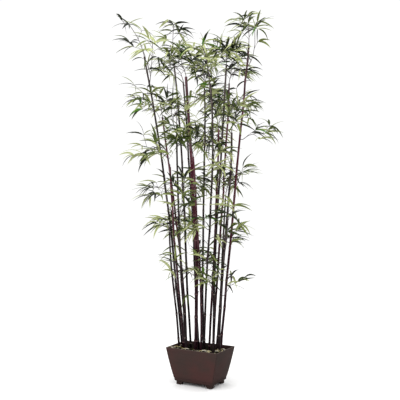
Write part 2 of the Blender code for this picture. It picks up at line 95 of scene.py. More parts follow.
class Number:
    """A number that varies over a surface, and adds Math nodes when it is worked with."""

    def __init__(self, shade: "Shade", socket: bpy.types.NodeSocket) -> None:
        """Keep the material that is being made and the socket that gives the number."""
        self.shade = shade
        self.socket = socket

    def _math(self, operation: str, first: "float | Number", second: "float | Number") -> "Number":
        """Return what one Math node makes of two numbers."""
        made = self.shade.node("ShaderNodeMath", {"operation": operation}, {0: first, 1: second})
        return Number(self.shade, made.outputs[0])

    def __add__(self, other: "float | Number") -> "Number":
        """Add a number."""
        return self._math("ADD", self, other)

    def __radd__(self, other: "float | Number") -> "Number":
        """Add to a number."""
        return self._math("ADD", other, self)

    def __sub__(self, other: "float | Number") -> "Number":
        """Take a number away."""
        return self._math("SUBTRACT", self, other)

    def __rsub__(self, other: "float | Number") -> "Number":
        """Take from a number."""
        return self._math("SUBTRACT", other, self)

    def __mul__(self, other: "float | Number") -> "Number":
        """Multiply by a number."""
        return self._math("MULTIPLY", self, other)

    def __rmul__(self, other: "float | Number") -> "Number":
        """Multiply a number."""
        return self._math("MULTIPLY", other, self)

    def __abs__(self) -> "Number":
        """Take the number without its sign."""
        return self._math("ABSOLUTE", self, 0.0)


Feed = "float | Colour | Vector | Number | bpy.types.NodeSocket"


class Shade:
    """One material while its nodes are put together."""

    def __init__(self, name: str, **fixed: Feed) -> None:
        """Start a material.

        Args:
            name: The material's name.
            fixed: Values of the shader's sockets that are the same all over, with _ for a space.
        """
        self.material = bpy.data.materials.new(name)
        self.material.use_nodes = True
        self.tree = self.material.node_tree
        self.shader = self.tree.nodes["Principled BSDF"]
        for socket, value in fixed.items():
            self.feed(self.shader.inputs[socket.replace("_", " ")], value)

    def feed(self, socket: bpy.types.NodeSocket, value: Feed) -> None:
        """Set a socket to a value, or link it to what gives the value."""
        if isinstance(value, Number):
            value = value.socket
        if isinstance(value, bpy.types.NodeSocket):
            self.tree.links.new(value, socket)
        else:
            socket.default_value = value

    def node(self, kind: str, settings: dict | None = None, values: dict | None = None) -> bpy.types.Node:
        """Add one node.

        Args:
            kind: The node's type.
            settings: Its own settings, with a ramp's stops as (place, colour) pairs.
            values: What its sockets are set or linked to, by name or number.

        Returns:
            The node.
        """
        made = self.tree.nodes.new(kind)
        for name, value in (settings or {}).items():
            if name == "stops":
                ramp = made.color_ramp.elements
                while len(ramp) < len(value):
                    ramp.new(0.5)
                for stop, (place, colour) in zip(ramp, value):
                    stop.position = place
                    stop.color = colour
            else:
                setattr(made, name, value)
        for name, value in (values or {}).items():
            self.feed(made.inputs[name], value)
        return made

    def place(self, scale: Point | tuple[float, float, float], uv: bool = False) -> bpy.types.NodeSocket:
        """Return the place on the object, or on its UV map, stretched by that scale."""
        coordinates = self.node("ShaderNodeTexCoord").outputs["UV" if uv else "Object"]
        mapped = self.node("ShaderNodeMapping", values={"Vector": coordinates, "Scale": scale})
        return mapped.outputs["Vector"]

    def noise(self, scale: tuple[float, float, float], detail: float = 3.0) -> Number:
        """Return cloudy noise from 0 to 1 with that many waves to the metre each way."""
        values = {"Vector": self.place(scale), "Scale": 1.0, "Detail": detail, "Roughness": 0.55}
        return Number(self, self.node("ShaderNodeTexNoise", values=values).outputs[0])

    def along(self, axis: str) -> Number:
        """Return how far along one of the object's axes a place is, in metres."""
        values = {0: self.place((1.0, 1.0, 1.0))}
        return Number(self, self.node("ShaderNodeSeparateXYZ", values=values).outputs[axis])

    def attribute(self, name: str) -> Number:
        """Return a number that the mesh itself carries."""
        return Number(self, self.node("ShaderNodeAttribute", {"attribute_name": name}).outputs["Fac"])

    def spread(self, value: Number, low: float, high: float) -> Number:
        """Return a number stretched so that low becomes 0 and high becomes 1, softly clamped."""
        settings = {"interpolation_type": "SMOOTHSTEP"}
        values = {"Value": value, "From Min": low, "From Max": high}
        return Number(self, self.node("ShaderNodeMapRange", settings, values).outputs[0])

    def blend(self, first: Feed, second: Feed, share: Feed) -> bpy.types.NodeSocket:
        """Return two colours mixed, with all of the second where the share is 1."""
        mixed = self.node("ShaderNodeMix", {"data_type": "RGBA"}, {0: share, 6: first, 7: second})
        return mixed.outputs[2]

    def finish(self, colour: Feed, roughness: Feed, relief: Number, depth: float) -> bpy.types.Material:
        """Set what varies over the surface, and return the material.

        Args:
            colour: The base colour.
            roughness: How rough it is.
            relief: The height of its fine relief.
            depth: How deep that relief is, in metres.
        """
        self.feed(self.shader.inputs["Base Color"], colour)
        self.feed(self.shader.inputs["Roughness"], roughness)
        bump = self.node("ShaderNodeBump", values={"Strength": 1.0, "Distance": depth, "Height": relief})
        self.feed(self.shader.inputs["Normal"], bump.outputs["Normal"])
        return self.material


@dataclass(frozen=True)
class StainedWood:
    """Dark brown stain on a smooth wooden planter, with faint grain and worn upper edges, and painted shade
    on its end faces and towards its feet.
    """

    name: str = "espresso_stained_wood"
    stain: Colour = paint(68, 55, 52)
    warm: Colour = paint(79, 54, 52)
    deep: Colour = paint(52, 45, 43)
    worn: Colour = paint(120, 106, 100)
    rim_height: float = 0.1925
    end_at_floor: float = 0.1083
    flare: float = 0.2356

    def make(self) -> bpy.types.Material:
        """Return the material."""
        shade = Shade(self.name, Specular_IOR_Level=0.012)
        grain = shade.noise((9.0, 9.0, 160.0), 5.0)
        cloud = shade.noise((6.0, 6.0, 8.0))
        height = shade.along("Z")
        # Painted shade: the end faces, past the line where each one stands, get half of the deep brown
        end = abs(shade.along("X") - PLANTER_PLACE.x) - (height * self.flare + self.end_at_floor)
        colour = shade.blend(self.stain, self.warm, shade.spread(cloud, 0.35, 0.65))
        colour = shade.blend(colour, self.deep, shade.spread(end, -0.006, -0.001) * 0.5)
        colour = shade.blend(colour, self.deep, shade.spread(grain, 0.52, 0.75) * 0.3)
        # Painted shade: darker towards the feet, deepest up to 1.2 cm and gone by 5 cm up
        colour = shade.blend(colour, self.deep, (1.0 - shade.spread(height, 0.012, 0.050)) * 0.7)
        edge = shade.spread(height + (cloud - 0.5) * 0.004, self.rim_height, self.rim_height + 0.001)
        colour = shade.blend(colour, self.worn, edge * 0.55)
        return shade.finish(colour, 0.40 + grain * 0.18, grain, 0.0002)


@dataclass(frozen=True)
class DriedMoss:
    """Clumps of dried dark moss."""

    name: str = "dried_moss"
    dark: Colour = paint(26, 24, 18)
    light: Colour = paint(74, 70, 44)

    def make(self) -> bpy.types.Material:
        """Return the material."""
        shade = Shade(self.name, Specular_IOR_Level=0.1)
        clump = shade.noise((70.0, 70.0, 70.0), 6.0)
        fine = shade.noise((420.0, 420.0, 420.0), 3.0)
        colour = shade.blend(self.dark, self.light, shade.spread(clump * 0.6 + fine * 0.4, 0.42, 0.66))
        return shade.finish(colour, 0.85 + fine * 0.12, clump + fine * 0.5, 0.006)


@dataclass(frozen=True)
class DryStraw:
    """Pale dry strands with darker streaks."""

    name: str = "dry_straw"
    pale: Colour = paint(232, 224, 208)
    streak: Colour = paint(196, 178, 88)

    def make(self) -> bpy.types.Material:
        """Return the material."""
        shade = Shade(self.name)
        fine = shade.noise((500.0, 500.0, 500.0), 2.0)
        patch = shade.noise((45.0, 45.0, 45.0), 2.0)
        colour = shade.blend(self.pale, self.streak, shade.spread(patch + fine * 0.3, 0.5, 0.85))
        return shade.finish(colour, 0.65 + fine * 0.15, fine, 0.0005)


@dataclass(frozen=True)
class PolishedCane:
    """The hard glossy skin of a natural cane, darker low down, with painted highlight streaks and paler
    rings.
    """

    name: str
    low_skin: Colour
    skin: Colour
    top_skin: Colour
    # The colour of the painted highlight streaks
    streak: Colour
    bloom: Colour

    def make(self) -> bpy.types.Material:
        """Return the material."""
        shade = Shade(self.name, Specular_IOR_Level=0.08)
        long = shade.noise((150.0, 150.0, 3.5), 4.0)
        mottle = shade.noise((60.0, 60.0, 18.0), 5.0)
        ring = shade.attribute("ring")
        higher = shade.spread(shade.along("Z"), 0.30, 1.35)
        colour = shade.blend(self.low_skin, self.skin, higher)
        colour = shade.blend(colour, self.top_skin, shade.spread(shade.along("Z"), 1.10, 1.70))
        # Painted highlights: pale streaks along the cane, stronger higher up
        highlight_streaks = shade.spread(long * 0.65 + mottle * 0.35, 0.47, 0.62)
        colour = shade.blend(colour, self.streak, highlight_streaks * (higher * 0.75 + 0.12))
        colour = shade.blend(colour, self.bloom, shade.spread(ring + (mottle - 0.5) * 0.5, 0.3, 1.0) * 0.7)
        return shade.finish(colour, 0.30 + mottle * 0.16 + ring * 0.25, long + mottle * 0.4, 0.0005)


@dataclass(frozen=True)
class WrappedWire:
    """Greyish mauve tape wound round the wire twigs."""

    name: str = "wrapped_wire"
    tape: Colour = paint(100, 86, 92)
    edge: Colour = paint(56, 44, 48)

    def make(self) -> bpy.types.Material:
        """Return the material."""
        shade = Shade(self.name, Specular_IOR_Level=0.2)
        patch = shade.noise((90.0, 90.0, 90.0), 2.0)
        wound = shade.noise((260.0, 260.0, 700.0), 2.0)
        colour = shade.blend(self.tape, self.edge, shade.spread(patch * 0.6 + wound * 0.4, 0.42, 0.62))
        return shade.finish(colour, 0.55 + wound * 0.2, wound, 0.0004)


class Tint(Enum):
    """The colours of the leaves, each with its name and its share of the fans; the pale one is partly
    painted light and the dark one partly painted shade.
    """

    # The pale tint partly paints a lit face and the dark tint partly paints shade
    PALE = ("pale", paint(186, 194, 136), 0.265)
    OLIVE = ("olive", paint(131, 143, 79), 0.22)
    MOSS = ("moss", paint(80, 95, 42), 0.18)
    DARK = ("dark", paint(36, 44, 22), 0.315)
    VIVID = ("vivid", paint(88, 140, 42), 0.025)

    def __init__(self, label: str, leaf_colour: Colour, share: float) -> None:
        """Keep the tint's name, its colour and its share."""
        self.label = label
        self.leaf_colour = leaf_colour
        self.share = share


@dataclass(frozen=True)
class LeafCloth:
    """Leaf fabric in one tint, whose pale and dark tints are partly painted light and shade, with a pressed
    midrib and fine veins along it.
    """

    tint: Tint

    def make(self) -> bpy.types.Material:
        """Return the material."""
        shade = Shade(f"leaf_cloth_{self.tint.label}", Specular_IOR_Level=0.16)
        patch = shade.noise((9.0, 9.0, 9.0), 2.0)
        lighter = tuple(min(1.0, part * 1.25) for part in self.tint.leaf_colour[:3]) + (1.0,)
        darker = tuple(part * 0.72 for part in self.tint.leaf_colour[:3]) + (1.0,)
        colour = shade.blend(darker, lighter, shade.spread(patch, 0.3, 0.7))
        wave = shade.node("ShaderNodeTexWave", {"wave_type": "BANDS", "bands_direction": "X"}, {
            "Vector": shade.place((9.0, 1.0, 1.0), uv=True), "Scale": 0.5, "Distortion": 0.0})
        veins = Number(shade, wave.outputs["Fac"])
        return shade.finish(colour, 0.48 + veins * 0.1, veins, 0.0002)


# Shapes


def spot(across: float, deep: float, height: float) -> Vector:
    """Return the place that lies so far across the fan, so far behind it and so high."""
    return Matrix.Rotation(FAN_TURN, 3, "Z") @ Vector((across, deep, height)) + PLANTER_PLACE


def square_to(heading: Vector, angle: float) -> Vector:
    """Return the way that is square to a heading, turned round it by that angle."""
    flat = heading.cross(UP)
    if flat.length < 0.05:
        flat = Vector((1.0, 0.0, 0.0))
    return Matrix.Rotation(angle, 3, heading) @ flat.normalized()


def along_course(points: list[Vector], share: float) -> tuple[Vector, Vector]:
    """Return the place and the heading at that share of a course's points."""
    position = share * (len(points) - 1)
    index = min(int(position), len(points) - 2)
    step = points[index + 1] - points[index]
    return points[index] + step * (position - index), step.normalized()


def arch(first: Vector, guide: Vector, last: Vector, steps: int) -> list[Vector]:
    """Return points on one smooth arch that leaves its first point towards the guide."""
    shares = (step / (steps - 1) for step in range(steps))
    return [first.lerp(guide, s).lerp(guide.lerp(last, s), s) for s in shares]


def extend(bm: bmesh.types.BMesh, cap: list, inner: bool) -> tuple[list, list]:
    """Extrude a body's end face.

    Args:
        bm: The body.
        cap: The faces of its end.
        inner: Whether the old end now lies inside the body, so that it goes.

    Returns:
        The new end, and the points of that end.
    """
    grown = bmesh.ops.extrude_face_region(bm, geom=cap)["geom"]
    if inner:
        bmesh.ops.delete(bm, geom=cap, context="FACES_ONLY")
    ends = [face for face in grown if isinstance(face, bmesh.types.BMFace)]
    ring = [vert for vert in grown if isinstance(vert, bmesh.types.BMVert)]
    return ends, ring


def limb(
    points: list[Vector],
    radii: list[float],
    sides: int,
    level_foot: bool = False,
    marks: list[float] | None = None,
    flat: float = 1.0,
) -> bmesh.types.BMesh:
    """Return a closed round limb through those points, with a flat cut at either end.

    Args:
        points: The middle of the limb, from its foot to its tip.
        radii: The limb's radius at each point.
        sides: How many sides it has.
        level_foot: Whether the foot is cut level instead of square to the limb.
        marks: A number for each point, which the mesh then carries as its ring attribute.
        flat: How thick it is for its width.
    """
    bm = bmesh.new()
    carried = bm.verts.layers.float.new("ring") if marks else None
    bmesh.ops.create_circle(bm, cap_ends=True, segments=sides, radius=1.0)
    bmesh.ops.scale(bm, vec=(1.0, flat, 1.0), verts=bm.verts)
    cap = bm.faces[:]
    ring = bm.verts[:]
    heading = UP.copy()
    turn = Matrix.Identity(4)
    placed = Matrix.Identity(4)
    last = len(points) - 1
    for index, (point, radius) in enumerate(zip(points, radii)):
        along = (points[min(index + 1, last)] - points[max(index - 1, 0)]).normalized()
        if level_foot and index == 0:
            along = heading
        turn = heading.rotation_difference(along).to_matrix().to_4x4() @ turn
        heading = along
        place = Matrix.Translation(point) @ turn @ Matrix.Diagonal((radius, radius, radius, 1.0))
        if index:
            cap, ring = extend(bm, cap, inner=index > 1)
        bmesh.ops.transform(bm, matrix=place @ placed.inverted(), verts=ring)
        placed = place
        if marks:
            for vert in ring:
                vert[carried] = marks[index]
    bmesh.ops.recalc_face_normals(bm, faces=bm.faces)
    return bm


def gather(whole: bmesh.types.BMesh, part: bmesh.types.BMesh) -> None:
    """Add a part's shape to a whole, and free the part."""
    mesh = bpy.data.meshes.new("part")
    part.to_mesh(mesh)
    part.free()
    whole.from_mesh(mesh)
    bpy.data.meshes.remove(mesh)


def new_object(name: str, bm: bmesh.types.BMesh) -> bpy.types.Object:
    """Turn a bmesh into an object of the scene."""
    mesh = bpy.data.meshes.new(name)
    bm.to_mesh(mesh)
    bm.free()
    obj = bpy.data.objects.new(name, mesh)
    bpy.context.scene.collection.objects.link(obj)
    return obj


def apply_modifiers(obj: bpy.types.Object) -> None:
    """Turn an object's modifiers into its mesh."""
    bpy.context.view_layer.update()
    graph = bpy.context.evaluated_depsgraph_get()
    shaped = bpy.data.meshes.new_from_object(obj.evaluated_get(graph))
    obj.modifiers.clear()
    obj.data = shaped


def dress(obj: bpy.types.Object, finish: bpy.types.Material, nodes: list[str], crease: float) -> None:
    """Finish a piece: its material, its smooth shading and its place in the frame.

    Args:
        obj: The piece.
        finish: Its material.
        nodes: The solids that it stands for.
        crease: The angle in degrees past which an edge stays sharp.
    """
    obj.data.materials.clear()
    obj.data.materials.append(finish)
    obj.data.shade_smooth()
    obj.data.set_sharp_from_angle(angle=math.radians(crease))
    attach(obj, "root")
    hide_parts(*nodes)
    log.info("%s: %d faces", obj.name, len(obj.data.polygons))


# Planter


@dataclass
class Planter:
    """The tapered wooden planter on a plinth with four bracket feet."""

    height: float = 0.194
    rim_half: Point = (0.154, 0.1025)
    body_half: Point = (0.1130, 0.0775)
    plinth_half: Point = (0.1055, 0.0725)
    plinth_top: float = 0.0170
    body_bottom: float = 0.0200
    wall: float = 0.006
    bulge: float = 0.0020
    corner: float = 0.0030
    groove: Point = (0.0300, 0.0345)
    groove_depth: float = 0.0015
    groove_slope: float = 0.0010
    steps: int = 13
    floor: float = 0.0320
    foot_width: float = 0.022
    foot_width_at_top: float = 0.034
    foot_clearance: float = 0.0165
    foot_curve: float = 0.009
    eased_edge: float = 0.0008

    def half(self, height: float) -> Vector:
        """Return half the body's length and depth at that height, outside."""
        share = (height - self.body_bottom) / (self.height - self.body_bottom)
        bulge = self.bulge * math.sin(math.pi * share)
        return Vector(self.body_half).lerp(Vector(self.rim_half), share) + Vector((bulge, bulge))

    def rise(self, low: float, high: float, inset: float) -> list[tuple[float, Vector]]:
        """Return the body's sections between two heights, that far inside its outer wall."""
        heights = [low + (high - low) * step / (self.steps - 1) for step in range(self.steps)]
        return [(height, self.half(height) - Vector((inset, inset))) for height in heights]

    def sections(self) -> list[tuple[float, Vector]]:
        """Return the planter's sections up its outside and down into its hollow."""
        plinth = Vector(self.plinth_half)
        low, high = self.groove
        sunk = Vector((self.groove_depth, self.groove_depth))
        outside = [(0.0, plinth), (self.plinth_top, plinth), (self.body_bottom, Vector(self.body_half))]
        outside.append((low, self.half(low)))
        for height in (low + self.groove_slope, high - self.groove_slope):
            outside.append((height, self.half(height) - sunk))
        hollow = self.rise(self.floor, self.height, self.wall)
        return outside + self.rise(high, self.height, 0.0) + hollow[::-1]

    def tray(self, sections: list[tuple[float, Vector]]) -> bmesh.types.BMesh:
        """Return a closed body that rises or sinks through rounded rectangles of those sizes."""
        bm = bmesh.new()
        bmesh.ops.create_grid(bm, x_segments=1, y_segments=1, size=1.0)
        height, size = sections[0]
        bmesh.ops.scale(bm, vec=(size.x, size.y, 1.0), verts=bm.verts)
        bmesh.ops.bevel(bm, geom=bm.verts[:], offset=self.corner, segments=6, profile=0.5,
                        affect="VERTICES", material=-1)
        bmesh.ops.translate(bm, vec=(0.0, 0.0, height), verts=bm.verts)
        cap = bm.faces[:]
        for index, (height, half) in enumerate(sections[1:]):
            cap, ring = extend(bm, cap, inner=index > 0)
            bmesh.ops.scale(bm, vec=(half.x / size.x, half.y / size.y, 1.0), verts=ring)
            for vert in ring:
                vert.co.z = height
            size = half
        bmesh.ops.translate(bm, vec=PLANTER_PLACE, verts=bm.verts)
        bmesh.ops.recalc_face_normals(bm, faces=bm.faces)
        return bm

    def foot_cutter(self, half: float, run: float, turn: float) -> bpy.types.Object:
        """Return the space between two bracket feet, as a bar that runs under the planter.

        Args:
            half: Half the length of the side that it is cut from.
            run: Half the bar's own length.
            turn: How far the bar is turned about the upright.
        """
        bm = bmesh.new()
        bmesh.ops.create_grid(bm, x_segments=1, y_segments=1, size=1.0)
        for vert in bm.verts:
            upper = vert.co.y > 0.0
            reach = half - (self.foot_width_at_top if upper else self.foot_width)
            level = self.foot_clearance if upper else -0.01
            vert.co = Vector((math.copysign(reach, vert.co.x), -run, level))
        upper_corners = [vert for vert in bm.verts if vert.co.z > 0.0]
        bmesh.ops.bevel(bm, geom=upper_corners, offset=self.foot_curve, segments=7, profile=0.5,
                        affect="VERTICES", material=-1)
        _, far = extend(bm, bm.faces[:], inner=False)
        bmesh.ops.translate(bm, vec=(0.0, 2.0 * run, 0.0), verts=far)
        bmesh.ops.rotate(bm, cent=(0.0, 0.0, 0.0), matrix=Matrix.Rotation(turn, 3, "Z"), verts=bm.verts)
        bmesh.ops.translate(bm, vec=PLANTER_PLACE, verts=bm.verts)
        bmesh.ops.recalc_face_normals(bm, faces=bm.faces)
        return new_object("foot_cutter", bm)

    def build(self) -> None:
        """Make the planter, cut its feet, ease its edges and dress it."""
        box = new_object("planter_box", self.tray(self.sections()))
        long, short = self.plinth_half
        cutters = [self.foot_cutter(long, short * 1.5, 0.0),
                   self.foot_cutter(short, long * 1.5, math.pi / 2)]
        for cutter in cutters:
            cut = box.modifiers.new("feet", "BOOLEAN")
            cut.object = cutter
            cut.operation = "DIFFERENCE"
            cut.solver = "EXACT"
        ease = box.modifiers.new("eased_edges", "BEVEL")
        ease.width = self.eased_edge
        ease.segments = 3
        ease.limit_method = "ANGLE"
        ease.angle_limit = math.radians(32.0)
        apply_modifiers(box)
        for cutter in cutters:
            bpy.data.objects.remove(cutter, do_unlink=True)
        dress(box, StainedWood().make(), ["planter"], 50.0)


class Heap(NamedTuple):
    """Strands of one kind on the bed.

    Attributes:
        name: The piece's name.
        count: How many strands there are.
        length: The shortest and longest strand.
        radius: The thinnest and thickest strand.
        flat: How thick a strand is for its width.
        edge: How far towards the walls they gather, from 0 to 1.
        back: How far back they lie, from -1 at the front to 1 at the back.
        rise: How high above the bed they lie.
    """

    name: str
    count: int
    length: Point
    radius: Point
    flat: float
    edge: float
    back: float
    rise: float


@dataclass
class MossBed:
    """The filling that the canes stand in: a bed of dried moss with loose strands on it."""

    planter: Planter
    top: float = 0.178
    swell: float = 0.009
    cells: tuple[int, int] = (52, 36)

    def level(self, across: float, deep: float) -> float:
        """Return the height of the moss at that place of the planter."""
        coarse = noise.noise(Vector((across * 34.0, deep * 34.0, 3.7)))
        fine = noise.noise(Vector((across * 150.0, deep * 150.0, 9.1)))
        return self.top - 0.003 + self.swell * (coarse * 0.8 + fine * 0.35)

    def bed(self) -> bmesh.types.BMesh:
        """Return the closed bed, uneven above and tapered to the planter's floor."""
        floor = self.planter.floor + GAP
        inset = Vector((self.planter.wall + GAP, self.planter.wall + GAP))
        wide = self.planter.half(self.top) - inset
        narrow = self.planter.half(floor) - inset
        bm = bmesh.new()
        bmesh.ops.create_grid(bm, x_segments=self.cells[0], y_segments=self.cells[1], size=1.0)
        for vert in bm.verts:
            corner = 1.0 - 0.04 * (abs(vert.co.x) * abs(vert.co.y)) ** 8
            across, deep = vert.co.x * wide.x * corner, vert.co.y * wide.y * corner
            vert.co = Vector((across, deep, self.level(across, deep)))
        _, under = extend(bm, bm.faces[:], inner=False)
        for vert in under:
            vert.co.z = floor
        bmesh.ops.scale(bm, vec=(narrow.x / wide.x, narrow.y / wide.y, 1.0), verts=under)
        bmesh.ops.translate(bm, vec=PLANTER_PLACE, verts=bm.verts)
        bmesh.ops.recalc_face_normals(bm, faces=bm.faces)
        return bm

    def strand(self, draw: random.Random, across: float, deep: float, heap: "Heap") -> bmesh.types.BMesh:
        """Return one curled strand that lies on the moss.

        Args:
            draw: The seeded numbers.
            across: Where its middle lies along the planter.
            deep: Where its middle lies from front to back.
            heap: The kind of strand.
        """
        length, radius = draw.uniform(*heap.length), draw.uniform(*heap.radius)
        turn = draw.uniform(0.0, math.tau)
        way = Vector((math.cos(turn), math.sin(turn), 0.0))
        aside = Vector((-way.y, way.x, 0.0))
        inside = self.planter.half(self.top) - Vector((self.planter.wall + 0.004, self.planter.wall + 0.004))
        bend = draw.uniform(-0.35, 0.35) * length
        lift = draw.uniform(0.15, 0.42) * length
        points = []
        for step in range(6):
            share = step / 5.0 - 0.5
            flatwise = way * length * share + aside * bend * (1.0 - 4.0 * share * share)
            x = max(-inside.x, min(inside.x, across + flatwise.x))
            y = max(-inside.y, min(inside.y, deep + flatwise.y))
            z = self.level(x, y) + heap.rise + radius * 0.6 + lift * max(0.0, 0.25 - share * share)
            points.append(Vector((x, y, z)) + PLANTER_PLACE)
        radii = [radius * part for part in (0.3, 0.8, 1.0, 0.95, 0.7, 0.15)]
        return limb(points, radii, 5, flat=heap.flat)

    def strew(self, heap: "Heap") -> bpy.types.Object:
        """Strew one kind of strand over the bed, and return the piece."""
        draw = random.Random(f"{SEED}{heap.name}")
        half = self.planter.half(self.top) - Vector((0.014, 0.014))
        whole = bmesh.new()
        for _ in range(heap.count):
            u, v = draw.uniform(-1.0, 1.0), draw.uniform(-1.0, heap.back)
            reach = max(abs(u), abs(v))
            pull = 1.0 + (1.0 / reach - 1.0) * heap.edge * draw.uniform(0.6, 1.0)
            gather(whole, self.strand(draw, u * pull * half.x, v * pull * half.y, heap))
        return new_object(heap.name, whole)

    def build(self) -> None:
        """Make the bed, its curls of moss and its straw."""
        moss = DriedMoss().make()
        dress(new_object("moss_bed", self.bed()), moss, ["filling"], 60.0)
        curls = Heap("moss_curls", 420, (0.014, 0.038), (0.0006, 0.0013), 0.7, 0.2, 1.0, 0.0)
        dress(self.strew(curls), moss, [], 60.0)
        straw = Heap("straw_strands", 34, (0.022, 0.055), (0.0012, 0.0024), 0.4, 0.96, 0.1, 0.015)
        dress(self.strew(straw), DryStraw().make(), [], 60.0)


# Canes


class Cane(NamedTuple):
    """One cane, with its places as (across, deep) from the middle of the planter."""

    foot: Point
    low: Point
    high: Point
    tip: Point
    top: float
    thick: float
    maroon: bool


# From left to right, seen from the planter's front corner
CANES = {
    1: Cane((-0.097, 0.070), (-0.148, 0.062), (-0.212, 0.052), (-0.301, 0.040), 1.74, 0.0110, False),
    2: Cane((-0.085, 0.036), (-0.113, -0.006), (-0.139, -0.058), (-0.155, -0.120), 1.14, 0.0108, True),
    3: Cane((-0.113, 0.030), (-0.131, 0.027), (-0.152, 0.024), (-0.165, 0.020), 0.80, 0.0105, False),
    4: Cane((-0.073, 0.052), (-0.101, 0.078), (-0.151, 0.111), (-0.210, 0.150), 1.43, 0.0108, True),
    5: Cane((-0.073, -0.010), (-0.099, -0.026), (-0.115, -0.046), (-0.123, -0.070), 1.36, 0.0105, False),
    6: Cane((-0.050, 0.064), (-0.080, 0.098), (-0.104, 0.140), (-0.149, 0.190), 1.74, 0.0112, False),
    7: Cane((-0.028, -0.006), (-0.021, -0.012), (-0.045, -0.020), (-0.076, -0.030), 1.62, 0.0180, True),
    8: Cane((-0.008, 0.035), (-0.031, 0.044), (-0.058, 0.056), (-0.093, 0.070), 1.61, 0.0105, False),
    9: Cane((0.002, -0.045), (0.002, -0.081), (-0.017, -0.126), (-0.036, -0.180), 1.19, 0.0105, True),
    10: Cane((0.019, 0.052), (0.013, 0.099), (0.021, 0.159), (0.023, 0.230), 1.63, 0.0108, False),
    11: Cane((0.022, -0.036), (0.036, -0.085), (0.060, -0.146), (0.048, -0.220), 1.55, 0.0105, False),
    12: Cane((0.047, -0.012), (0.067, 0.023), (0.087, 0.067), (0.100, 0.120), 1.36, 0.0115, True),
    13: Cane((0.068, -0.070), (0.077, -0.083), (0.103, -0.100), (0.133, -0.120), 1.66, 0.0108, False),
    14: Cane((0.069, 0.012), (0.097, 0.054), (0.132, 0.107), (0.160, 0.170), 1.62, 0.0110, True),
    15: Cane((0.100, -0.072), (0.111, -0.103), (0.142, -0.143), (0.157, -0.190), 1.31, 0.0125, False),
    16: Cane((0.083, -0.004), (0.103, 0.005), (0.119, 0.016), (0.134, 0.030), 0.98, 0.0100, False),
    17: Cane((0.107, -0.030), (0.152, -0.030), (0.204, -0.030), (0.254, -0.030), 1.79, 0.0122, True),
}


@dataclass
class Canes:
    """The seventeen canes, each with its nodes, sheath scars and cut branch stubs."""

    foot: float = 0.168
    internode: Point = (0.115, 0.175)
    kink: float = 0.0022
    tip_share: float = 0.72
    stops: tuple[float, ...] = (0.0, 1.0 / 3.0, 2.0 / 3.0, 1.0)
    sides: int = 14
    skin: float = 0.0010
    stub_length: float = 0.008

    def middle(self, cane: Cane, height: float) -> Vector:
        """Return the middle of a cane at that height, on one smooth bow through its four places."""
        share = (height - self.foot) / (cane.top - self.foot)
        across = 0.0
        deep = 0.0
        for stop, place in zip(self.stops, (cane.foot, cane.low, cane.high, cane.tip)):
            weight = math.prod((share - other) / (stop - other) for other in self.stops if other != stop)
            across += weight * place[0]
            deep += weight * place[1]
        return spot(across, deep, height)

    def nodes(self, number: int) -> list[tuple[float, Vector]]:
        """Return the height of each of a cane's nodes and how far the cane kinks there."""
        cane = CANES[number]
        draw = random.Random(SEED + number)
        found = []
        height = self.foot + draw.uniform(0.25, 0.9) * self.internode[0]
        while height < cane.top - self.internode[0] * 0.5:
            kink = Vector((draw.uniform(-self.kink, self.kink), draw.uniform(-self.kink, self.kink), 0.0))
            found.append((height, kink))
            height += draw.uniform(*self.internode)
        return found

    def course(self, number: int) -> tuple[list[Vector], list[float], list[float]]:
        """Return a cane's points, its radii and how near each point is to a node."""
        cane = CANES[number]
        profile = ((-0.012, 1.00, 0.0), (-0.005, 1.03, 0.25), (-0.0015, 1.17, 0.9), (0.0, 1.22, 1.0),
                   (0.0012, 1.04, 0.8), (0.0030, 1.12, 0.55), (0.0055, 1.08, 0.3), (0.012, 0.96, 0.0))
        rows = [(self.foot - 0.006, Vector(), 1.0, 0.0)]
        stops = self.nodes(number)
        for index, (height, kink) in enumerate(stops):
            rows += [(height + rise, kink, swell, mark) for rise, swell, mark in profile]
            above = stops[index + 1] if index + 1 < len(stops) else (cane.top, Vector())
            for share in (0.33, 0.67):
                rows.append((height + (above[0] - height) * share, kink.lerp(above[1], share), 0.98, 0.0))
        rows.append((cane.top, Vector(), 0.98, 0.0))
        thin = (1.0 - self.tip_share) / (cane.top - self.foot)
        points = [self.middle(cane, height) + kink for height, kink, _, _ in rows]
        full = cane.thick / 2.0 + self.skin
        radii = [full * (1.0 - thin * (height - self.foot)) * swell for height, _, swell, _ in rows]
        return points, radii, [row[3] for row in rows]

    def stub(self, number: int, height: float, turn: float) -> bmesh.types.BMesh:
        """Return a short cut branch at a node."""
        cane = CANES[number]
        way = Vector((math.cos(turn), math.sin(turn), 0.9)).normalized()
        start = self.middle(cane, height)
        reach = cane.thick / 2.0 + self.stub_length
        points = [start, start + way * reach * 0.7, start + way * reach]
        thick = cane.thick
        return limb(points, [thick * 0.2, thick * 0.15, thick * 0.12], 8, marks=[0.9, 0.5, 0.5])

    def build(self) -> None:
        """Make and dress every cane."""
        # The fourth colour of each is its painted highlight, laid on as streaks
        maroon = PolishedCane("cane_maroon", paint(35, 12, 20), paint(84, 32, 46), paint(72, 52, 58),
                              paint(140, 98, 106), paint(132, 102, 102)).make()
        black = PolishedCane("cane_black", paint(22, 9, 13), paint(42, 33, 32), paint(60, 52, 52),
                             paint(128, 115, 113), paint(128, 116, 112)).make()
        for number, cane in CANES.items():
            points, radii, marks = self.course(number)
            whole = limb(points, radii, self.sides, level_foot=True, marks=marks)
            draw = random.Random(SEED * 7 + number)
            turn = draw.uniform(0.0, math.tau)
            for height, _ in self.nodes(number)[1:]:
                turn += math.pi + draw.uniform(-0.4, 0.4)
                if draw.random() < 0.45:
                    gather(whole, self.stub(number, height + 0.003, turn))
            kind = "maroon" if cane.maroon else "black"
            piece = new_object(f"{kind}_cane_{number:02d}", whole)
            dress(piece, maroon if cane.maroon else black, [f"cane_{number:02d}"], 35.0)


# Foliage


class Spray(NamedTuple):
    """One spray: its cane, the height where it leaves it, where its stem ends and its fans."""

    cane: int
    leaves_at: float
    end: tuple[float, float, float]
    fans: int


